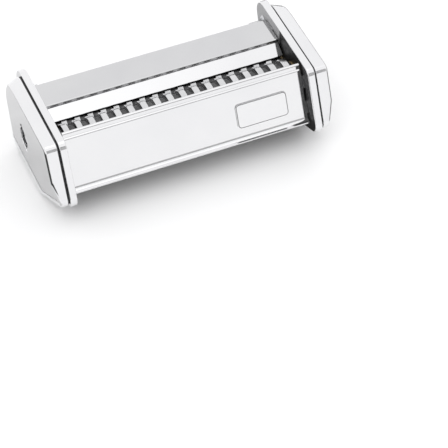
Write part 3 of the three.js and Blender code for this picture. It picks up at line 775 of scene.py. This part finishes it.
def rail_rivet(side, place, axis):
    """A countersunk head in the rail, a shank, and a closed tail under the cover."""
    low, high = span(f"right_{place}_rail_rivet", 0)
    head_radius, head_depth = 2.35, 1.0
    tail_radius, tail_depth = 2.4, 0.8
    profile = [(low, 0), (low, head_radius - 0.05), (low + 0.1, head_radius)]
    profile += [(low + head_depth, RIVET_RADIUS), (high - tail_depth, RIVET_RADIUS)]
    for turn in (math.pi / 2, 1.2, 0.8, 0.4, 0):
        profile.append((high - tail_depth + tail_depth * math.cos(turn), tail_radius * math.sin(turn)))
    finished(f"{side}_{place}_rail_rivet", mirrored(lathe(profile, axis, 32), side))


def tie_rod(place, axis):
    """A rod with a shoulder against each side frame and a thread through it."""
    end = span(f"{place}_tie_rod", 0)[1]
    chamfer, lead = 0.3, 0.5
    half = [(SEAT - chamfer, ROD_RADIUS), (SEAT, ROD_RADIUS - chamfer), (SEAT, THREAD_RADIUS)]
    half += [(end - lead, THREAD_RADIUS), (end, THREAD_RADIUS - lead), (end, 0)]
    profile = [(-x, radius) for x, radius in reversed(half)] + half
    finished(f"{place}_tie_rod", lathe(profile, axis, 48))


# ---------- rollers ----------

FRONT_DISCS = 18
DISC_CHAMFER = 0.3
ROOT_RADIUS = DISC_RADIUS - GROOVE_DEPTH
ROOT_CHAMFER = 0.25
CLIP_GROOVE = 1.0
CLIP_GROOVE_RADIUS = JOURNAL_RADIUS - 1
SHOULDER_CHAMFER = 0.4
SHOULDER = FRAME_INNER - BUSHING_FLANGE - 0.3
LEFT_CLIP = FRAME_OUTER + 0.6
RIGHT_CLIP = span("rear_right_clip", 0)[0] - 0.1
SHAFT_FLAT = 4.6


def disc(x):
    """Profile of one cutting disc: straight sides, with a small chamfer at the root and at the rim."""
    half = DISC_WIDTH / 2
    sides = [(-half - ROOT_CHAMFER, ROOT_RADIUS), (-half, ROOT_RADIUS + ROOT_CHAMFER)]
    sides += [(-half, DISC_RADIUS - DISC_CHAMFER), (-half + DISC_CHAMFER, DISC_RADIUS)]
    return [(x + offset, radius) for offset, radius in sides + [(-o, r) for o, r in reversed(sides)]]


def roller(node, axis, count, left_end):
    """Shaft ends, journals and discs in one turned piece, with two flats at the geared end."""
    right_end = span(node, 0)[1]
    profile = left_end + [
        (-LEFT_CLIP - CLIP_GROOVE, JOURNAL_RADIUS),
        (-LEFT_CLIP - CLIP_GROOVE, CLIP_GROOVE_RADIUS),
        (-LEFT_CLIP, CLIP_GROOVE_RADIUS),
        (-LEFT_CLIP, JOURNAL_RADIUS),
        (-SHOULDER, JOURNAL_RADIUS),
        (-SHOULDER, ROOT_RADIUS - SHOULDER_CHAMFER),
        (-SHOULDER + SHOULDER_CHAMFER, ROOT_RADIUS),
    ]
    for i in range(count):
        profile += disc((i - (count - 1) / 2) * DISC_PITCH)
    profile += [
        (SHOULDER - SHOULDER_CHAMFER, ROOT_RADIUS),
        (SHOULDER, ROOT_RADIUS - SHOULDER_CHAMFER),
        (SHOULDER, JOURNAL_RADIUS),
        (RIGHT_CLIP, JOURNAL_RADIUS),
        (RIGHT_CLIP, CLIP_GROOVE_RADIUS),
        (RIGHT_CLIP + CLIP_GROOVE, CLIP_GROOVE_RADIUS),
        (RIGHT_CLIP + CLIP_GROOVE, JOURNAL_RADIUS),
        (right_end - 0.2, JOURNAL_RADIUS),
        (right_end, JOURNAL_RADIUS - 0.2),
        (right_end, 0),
    ]
    flats_start = FRAME_OUTER + 0.2
    length = right_end + 1 - flats_start
    depth = 8
    flats = []
    for way in (-1, 1):
        middle = axis + Vector((0, way * (SHAFT_FLAT + depth / 2)))
        flats.append(box((flats_start + length / 2, *middle), 0, (length, 16, depth)))
    return combined(lathe(profile, axis), flats)


def finished_roller(node, axis, body):
    """The discs' rims keep the polished steel; their sides and the grooves get the darker steel, painted shade
    between the discs.
    """
    def in_groove(middle, normal):
        depth = DISC_RADIUS - (Vector(middle[1:]) - axis).length
        return abs(middle.x) < SHOULDER and depth > DISC_CHAMFER + 0.1

    # Painted shade: the disc sides and groove floors get the dark second material.
    darkened(body, in_groove)
    finished(node, body).data.materials.append(finishes["groove_painted_shade"])


def front_roller():
    """The roller that the gears turn: its left end is a plain chamfered shaft."""
    end = span("front_roller", 0)[0]
    chamfer = 0.3
    left_end = [(end, 0), (end, JOURNAL_RADIUS - chamfer), (end + chamfer, JOURNAL_RADIUS)]
    body = roller("front_roller", front_axis, FRONT_DISCS, left_end)
    finished_roller("front_roller", front_axis, body)


def rear_roller():
    """The roller that the crank turns: its left end is a socket with a cross slot."""
    end = span("rear_roller", 0)[0]
    socket_radius, socket_depth = 3.6, 10
    chamfer = 0.4
    left_end = [
        (end + socket_depth + 1, 0),
        (end + socket_depth, socket_radius),
        (end + chamfer, socket_radius),
        (end, socket_radius + chamfer),
        (end, JOURNAL_RADIUS - chamfer),
        (end + chamfer, JOURNAL_RADIUS),
    ]
    body = roller("rear_roller", rear_axis, FRONT_DISCS - 1, left_end)
    slot_depth, slot_width = 3, 3
    slot = box((end, *rear_axis), 90 - FRONT_LEAN, (2 * slot_depth, 18, slot_width))
    finished_roller("rear_roller", rear_axis, combined(body, [slot]))


# ---------- sheet metal ----------


def tabs(places):
    """The tongues at both ends of a sheet that reach into the side frames' slots."""
    start = PANEL_END - 2
    thickness = SHEET - 0.04
    pairs = [(-TAB_END, -start), (start, TAB_END)]
    return [prism(bar(at, angle, TAB_LENGTH, thickness), *ends) for at, angle in places for ends in pairs]


def front_panel():
    """A lip at the foot, a flat face, a small step, and a hem rolled inwards at the top."""
    hem_radius = 1.3
    hem_rise = 4
    hem_in = PANEL_SETBACK + 0.8
    hem_middle = lean(hem_in + hem_radius, PANEL_TOP - hem_rise + hem_radius)
    hem = arc(hem_middle, hem_radius, 180 - FRONT_LEAN, -FRONT_LEAN, 16)
    lower = [
        lean(PANEL_SETBACK - 2.5, PANEL_BOTTOM + 1.1),
        lean(PANEL_SETBACK, PANEL_BOTTOM),
        lean(PANEL_SETBACK, PANEL_TOP),
        lean(hem_in, PANEL_TOP - 0.6),
        hem[0],
    ]
    bends = [3.0, 1.2, 0.4]
    line = bent(lower, bends)[:-1] + hem + [lean(hem_in + 2 * hem_radius, PANEL_TOP - 0.4)]
    outline = thickened(line[::-1], SHEET)
    body = combined(prism(outline, -PANEL_END, PANEL_END), tabs(front_tabs), "UNION")
    # Painted shade: the faces turned inwards get the near-black second material.
    darkened(body, lambda middle, normal: Vector(normal[1:]).dot(inward_way) > 0.25)
    finished("front_panel", body, bevel=SHEET_BEVEL).data.materials.append(finishes["sheet_back_painted_shade"])


def top_panel():
    """Rear wall, bend, level plate, and a rounded nose hemmed underneath."""
    edge = rear_line(0, PLATE_TOP)
    bend_back = PLATE_BEND * math.tan(math.radians((90 + REAR_LEAN) / 2))
    bend_middle = Vector((edge.x - bend_back, PLATE_TOP - PLATE_BEND))
    nose = nose_middle()
    hem_end = nose.x + NOSE_HEM
    outline = [rear_line(0, WALL_FOOT)]
    outline += arc(bend_middle, PLATE_BEND, -REAR_LEAN, 90, 14)
    outline += arc(nose, NOSE_RADIUS, 90, 270, 16)
    outline += [Vector((hem_end, PLATE_TOP - 2 * NOSE_RADIUS)), Vector((hem_end, PLATE_TOP - SHEET))]
    outline += arc(bend_middle, PLATE_BEND - SHEET, -REAR_LEAN, 90, 14)[::-1]
    outline.append(rear_line(-SHEET, WALL_FOOT))
    body = combined(prism(outline, -PANEL_END, PANEL_END), tabs(top_tabs), "UNION")
    # The top plate takes the darker copy of the chrome, painted shade.
    finished("top_panel", body, bevel=SHEET_BEVEL, finish="plate_chrome_painted_shade")


def feed_chute():
    """The strip that slopes from under the nose to the rollers."""
    under_nose = 0.2
    flange = 6.5
    bend = 2.0
    bend_behind_foot = 8.6
    foot = chute_foot()
    top = Vector((foot.x + bend_behind_foot, PLATE_TOP - 2 * NOSE_RADIUS - under_nose))
    line = bent([top + Vector((flange, 0)), top, foot], [bend], 8)
    body = prism(thickened(line, SHEET), -PANEL_END, PANEL_END)
    # Painted shade: the chute's underside gets the near-black second material.
    darkened(body, lambda middle, normal: normal.z < -0.2)
    finished("feed_chute", body, bevel=SHEET_BEVEL).data.materials.append(finishes["sheet_back_painted_shade"])


def badge():
    """A blank plate with a fine enamelled groove round its edge."""
    width, height, thickness = 34.0, 16.0, 0.5
    corner_radius = 2.6
    off_panel = 0.3
    down_panel = 11.6
    corners = [(Vector((a * width / 2, b * height / 2)), corner_radius) for a, b in CORNER_SIGNS]
    rows = [(0, 0.1), (0.1, 0), (thickness - 0.15, 0), (thickness - 0.04, 0.04), (thickness, 0.15)]
    groove_start, groove_end, slope = 0.35, 0.8, 0.06
    groove_floor = thickness - 0.1
    rows += [(thickness, groove_start), (groove_floor, groove_start + slope)]
    rows += [(groove_floor, groove_end - slope), (thickness, groove_end)]
    body = loft([(x, rounded(corners, inset)) for x, inset in rows])
    outward = -inward_way
    middle_x = sum(span("badge_plate", 0)) / 2
    middle = lean(PANEL_SETBACK - off_panel, down_panel + height / 2)
    turn = Matrix((
        (0, 1, 0, middle_x),
        (outward.x, 0, -down_way.x, middle.x),
        (outward.y, 0, -down_way.y, middle.y),
        (0, 0, 0, 1),
    ))
    for face in body.faces:
        xs = [vert.co.x for vert in face.verts]
        face.material_index = int(max(xs) < thickness - 0.05 and min(xs) > groove_floor - 0.01)
    bmesh.ops.transform(body, matrix=turn, verts=body.verts)
    plate = finished("badge_plate", body)
    plate.data.materials.append(badge_border())


# ---------- assembly ----------


def end_pieces(side):
    """Everything that belongs to one end of the unit and has its twin at the other."""
    side_frame(side)
    cover(side)
    bushing(side, "front", front_axis)
    bushing(side, "rear", rear_axis)
    for place, at in screw_places.items():
        cover_screw(side, place, at)
    for place, at in rivet_places.items():
        rail_rivet(side, place, at)


def kept_nodes():
    """Gives the CAD nodes whose shape is fine enough their finish and small edge bevels."""
    for name, piece in frame["nodes"].items():
        if piece.hide_render:
            continue
        piece.data.materials.clear()
        piece.data.materials.append(finishes[slot_of[name]])
        piece.modifiers.new("weld", "WELD").merge_threshold = 0.001 * MM
        edge_bevel(piece, KEPT_BEVEL)


for end in ("left", "right"):
    end_pieces(end)
for rod, place in rod_places.items():
    tie_rod(rod, place)
front_roller()
rear_roller()
front_panel()
top_panel()
feed_chute()
badge()
kept_nodes()

# ---------- studio ----------


def floor():
    """A plain pale floor, wide enough to fill the view."""
    body = bmesh.new()
    bmesh.ops.create_grid(body, x_segments=1, y_segments=1, size=3.0)
    data = bpy.data.meshes.new("floor")
    body.to_mesh(data)
    body.free()
    plane = bpy.data.objects.new("floor", data)
    bpy.context.scene.collection.objects.link(plane)
    finish = Finish("floor_white", Roughness=0.6)
    finish.colour(finish.noise(3, 2), (0.3, (0.88, 0.88, 0.88)), (0.7, (0.9, 0.9, 0.9)))
    data.materials.append(finish.material)


def sky():
    """A white room with a brighter ceiling."""
    world = bpy.data.worlds.new("studio")
    bpy.context.scene.world = world
    world.use_nodes = True
    nodes, links = world.node_tree.nodes, world.node_tree.links
    direction = nodes.new("ShaderNodeTexCoord").outputs["Generated"]
    axes = nodes.new("ShaderNodeSeparateXYZ")
    ramp = nodes.new("ShaderNodeValToRGB")
    walls, ceiling = ramp.color_ramp.elements
    walls.position = 0.93
    walls.color = (0.72, 0.72, 0.725, 1)
    ceiling.position = 0.985
    ceiling.color = (1, 1, 1, 1)
    links.new(direction, axes.inputs["Vector"])
    links.new(axes.outputs["Z"], ramp.inputs["Fac"])
    links.new(ramp.outputs["Color"], nodes["Background"].inputs["Color"])
    nodes["Background"].inputs["Strength"].default_value = 1.52


def card(name, low, high, shade):
    """A studio card between two corners, in metres, that only shows as a reflection in the chrome."""
    body = bmesh.new()
    bmesh.ops.create_cube(body, size=1)
    sizes = Vector(high) - Vector(low)
    middle = (Vector(low) + Vector(high)) / 2
    place = Matrix.Translation(middle) @ Matrix.Diagonal((*sizes, 1))
    bmesh.ops.transform(body, matrix=place, verts=body.verts)
    data = bpy.data.meshes.new(name)
    body.to_mesh(data)
    body.free()
    made = bpy.data.objects.new(name, data)
    bpy.context.scene.collection.objects.link(made)
    finish = Finish(f"{name}_paper", Roughness=0.9)
    finish.colour(finish.noise(40, 2), (0.3, (shade, shade, shade)), (0.7, (shade * 1.1,) * 3))
    data.materials.append(finish.material)
    made.visible_camera = False
    made.visible_diffuse = False
    made.visible_shadow = False


def soft_light(name, place, size, power):
    """A square soft box that faces the object."""
    data = bpy.data.lights.new(name, "AREA")
    data.size = size
    data.energy = power
    lamp = bpy.data.objects.new(name, data)
    lamp.location = place
    lamp.rotation_euler = (-Vector(place)).to_track_quat("-Z", "Y").to_euler()
    lamp.visible_glossy = False
    bpy.context.scene.collection.objects.link(lamp)


def camera():
    """A long lens above the front left, level, aimed by how far it looks down and to the right."""
    down, right = 46.785, 23.312
    data = bpy.data.cameras.new("camera")
    data.sensor_width = 36.0
    data.lens = 176.8
    data.clip_end = 20
    eye = bpy.data.objects.new("camera", data)
    eye.location = (-0.35676, -0.91184, 0.96314)
    eye.rotation_euler = (math.radians(90 - down), 0, math.radians(-right))
    bpy.context.scene.collection.objects.link(eye)
    bpy.context.scene.camera = eye


floor()
sky()
card("left_card", (-0.7, -0.8, 0.0), (-0.14, 0.1, 0.002), 0.01)
card("near_card", (-0.139, -0.06, 0.0), (-0.094, 0.12, 0.002), 0.62)
card("right_card", (0.13, -0.12, 0.0), (0.7, 0.3, 0.002), 0.05)
card("front_card", (-0.6, -1.52, 0.2), (1.6, -1.5, 1.5), 0.42)
soft_light("key", (-0.6, -0.5, 1.2), 0.8, 2.5)
soft_light("rear_fill", (0.7, 0.8, 0.9), 0.8, 1.5)
camera()
bpy.context.scene.view_settings.view_transform = "Standard"
